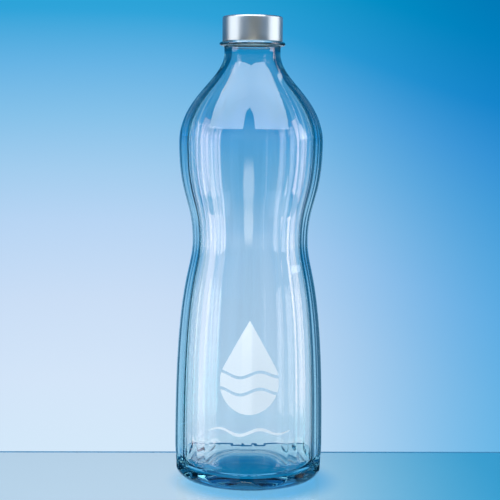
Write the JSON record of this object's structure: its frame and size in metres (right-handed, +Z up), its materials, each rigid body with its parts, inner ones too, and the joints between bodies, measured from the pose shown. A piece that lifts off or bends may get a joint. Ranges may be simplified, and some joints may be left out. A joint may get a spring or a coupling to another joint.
{
  "type": "glass water bottle",
  "caption": "Clear glass water bottle with an hourglass body in soft flat panels, a thick base, a neck ring and a metal screw cap lined in plastic.",
  "frame": {"origin": "centre of the standing ring, on the surface that the bottle stands on", "axes": "+Z up along the bottle's axis, -Y towards the printed front, +X to the right seen from the front"},
  "size_m": [0.081, 0.0828, 0.2515],
  "materials": {
    "bottle_glass": "clear moulded soda-lime glass, fire polished, with a faint aqua tint in its thick edges",
    "cap_metal": "drawn aluminium sheet, satin, clear lacquered",
    "cap_plastic": "injection moulded polypropylene, charcoal",
    "cap_seal": "die cut soft foamed polyethylene disc"
  },
  "bodies": {
    "bottle": {"glass_bottle": "bottle_glass"},
    "seal": {"cap_liner": "cap_seal"},
    "cap": {"cap_shell": "cap_metal", "cap_insert": "cap_plastic"}
  },
  "joints": [
    {"name": "cap_rise", "type": "slide", "parent": "bottle", "child": "seal", "axis": [0, 0, 1], "range_m": [0, 0.01681]},
    {"name": "cap_turn", "type": "hinge", "parent": "seal", "child": "cap", "pos_m": [0, 0, 0.244], "axis": [0, 0, 1], "range_deg": [0, 1440]}
  ],
  "couplings": [
    {"joint": "cap_rise", "follows": "cap_turn", "m_per_rad": 0.00066845}
  ]
}
